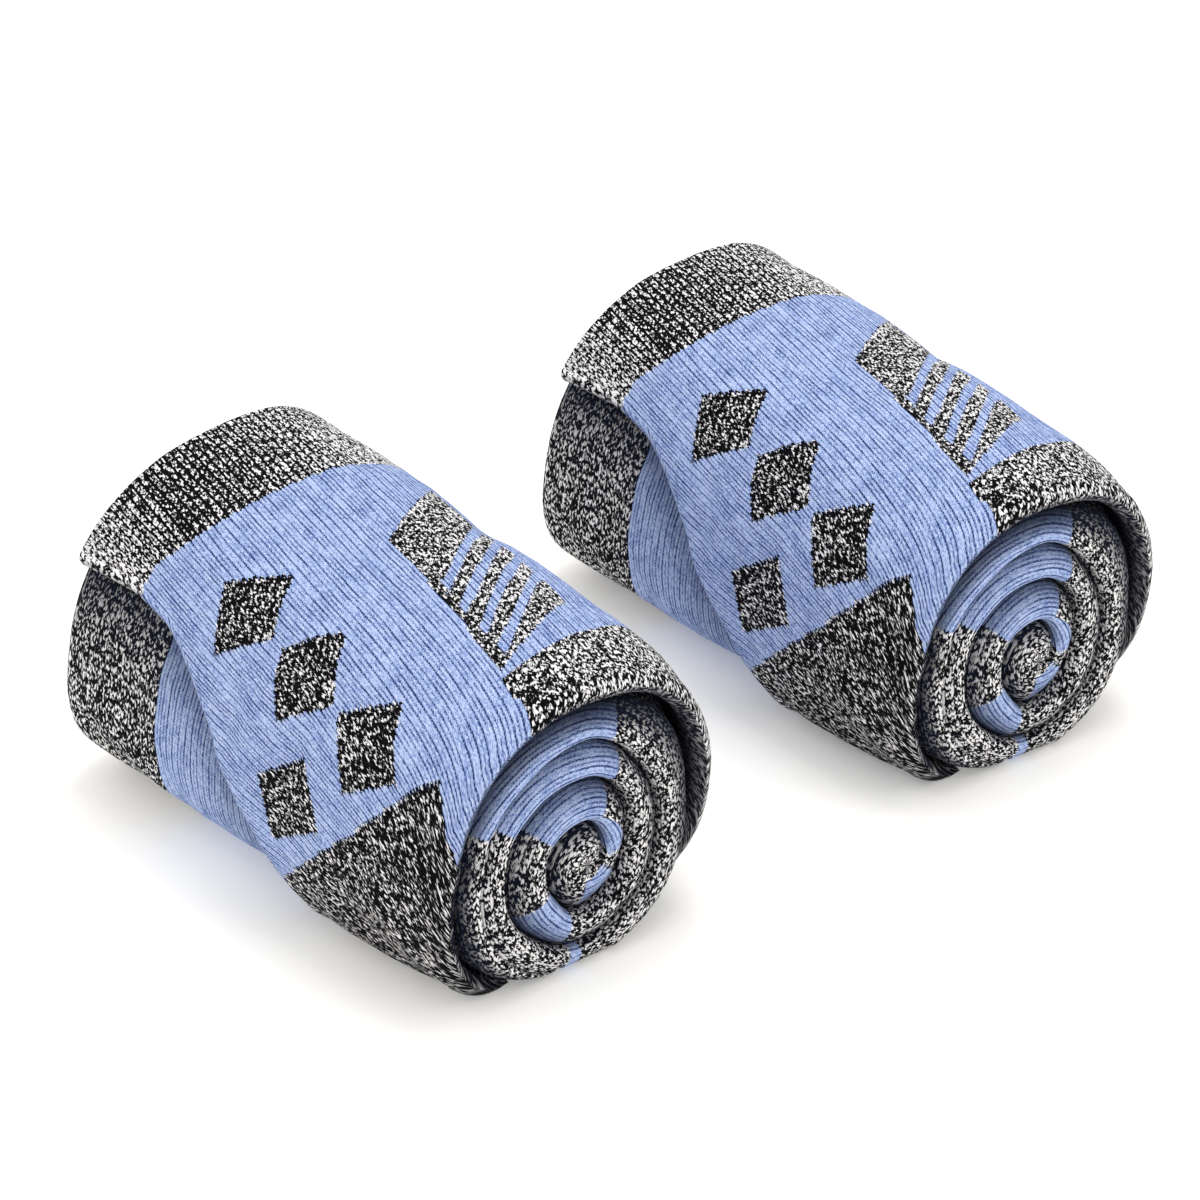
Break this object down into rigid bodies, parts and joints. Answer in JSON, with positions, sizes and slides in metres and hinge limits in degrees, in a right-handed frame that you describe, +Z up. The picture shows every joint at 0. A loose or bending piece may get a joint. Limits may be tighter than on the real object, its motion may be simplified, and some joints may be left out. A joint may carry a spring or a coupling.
{
  "type": "pair of rolled quarter socks, cloth folded",
  "caption": "Pair of cushioned knitted socks, each rolled up from the toe with its leg laid over the roll, blue rib with grey marl.",
  "frame": {"origin": "middle of the pair's box at the surface that it rests on", "axes": "+X across the pair, from the left sock to the right one; +Y along the left sock's roll, from its heel end to its cuff end; +Z up"},
  "size_m": [0.228, 0.1468, 0.076],
  "materials": {
    "blue_rib_knit": "matte cushioned rib knit",
    "marl_knit": "matte black and white marl knit"
  },
  "bodies": {
    "root": {"left_leg": "blue_rib_knit", "left_foot_roll": "marl_knit", "right_leg": "blue_rib_knit", "right_foot_roll": "marl_knit"}
  },
  "joints": []
}
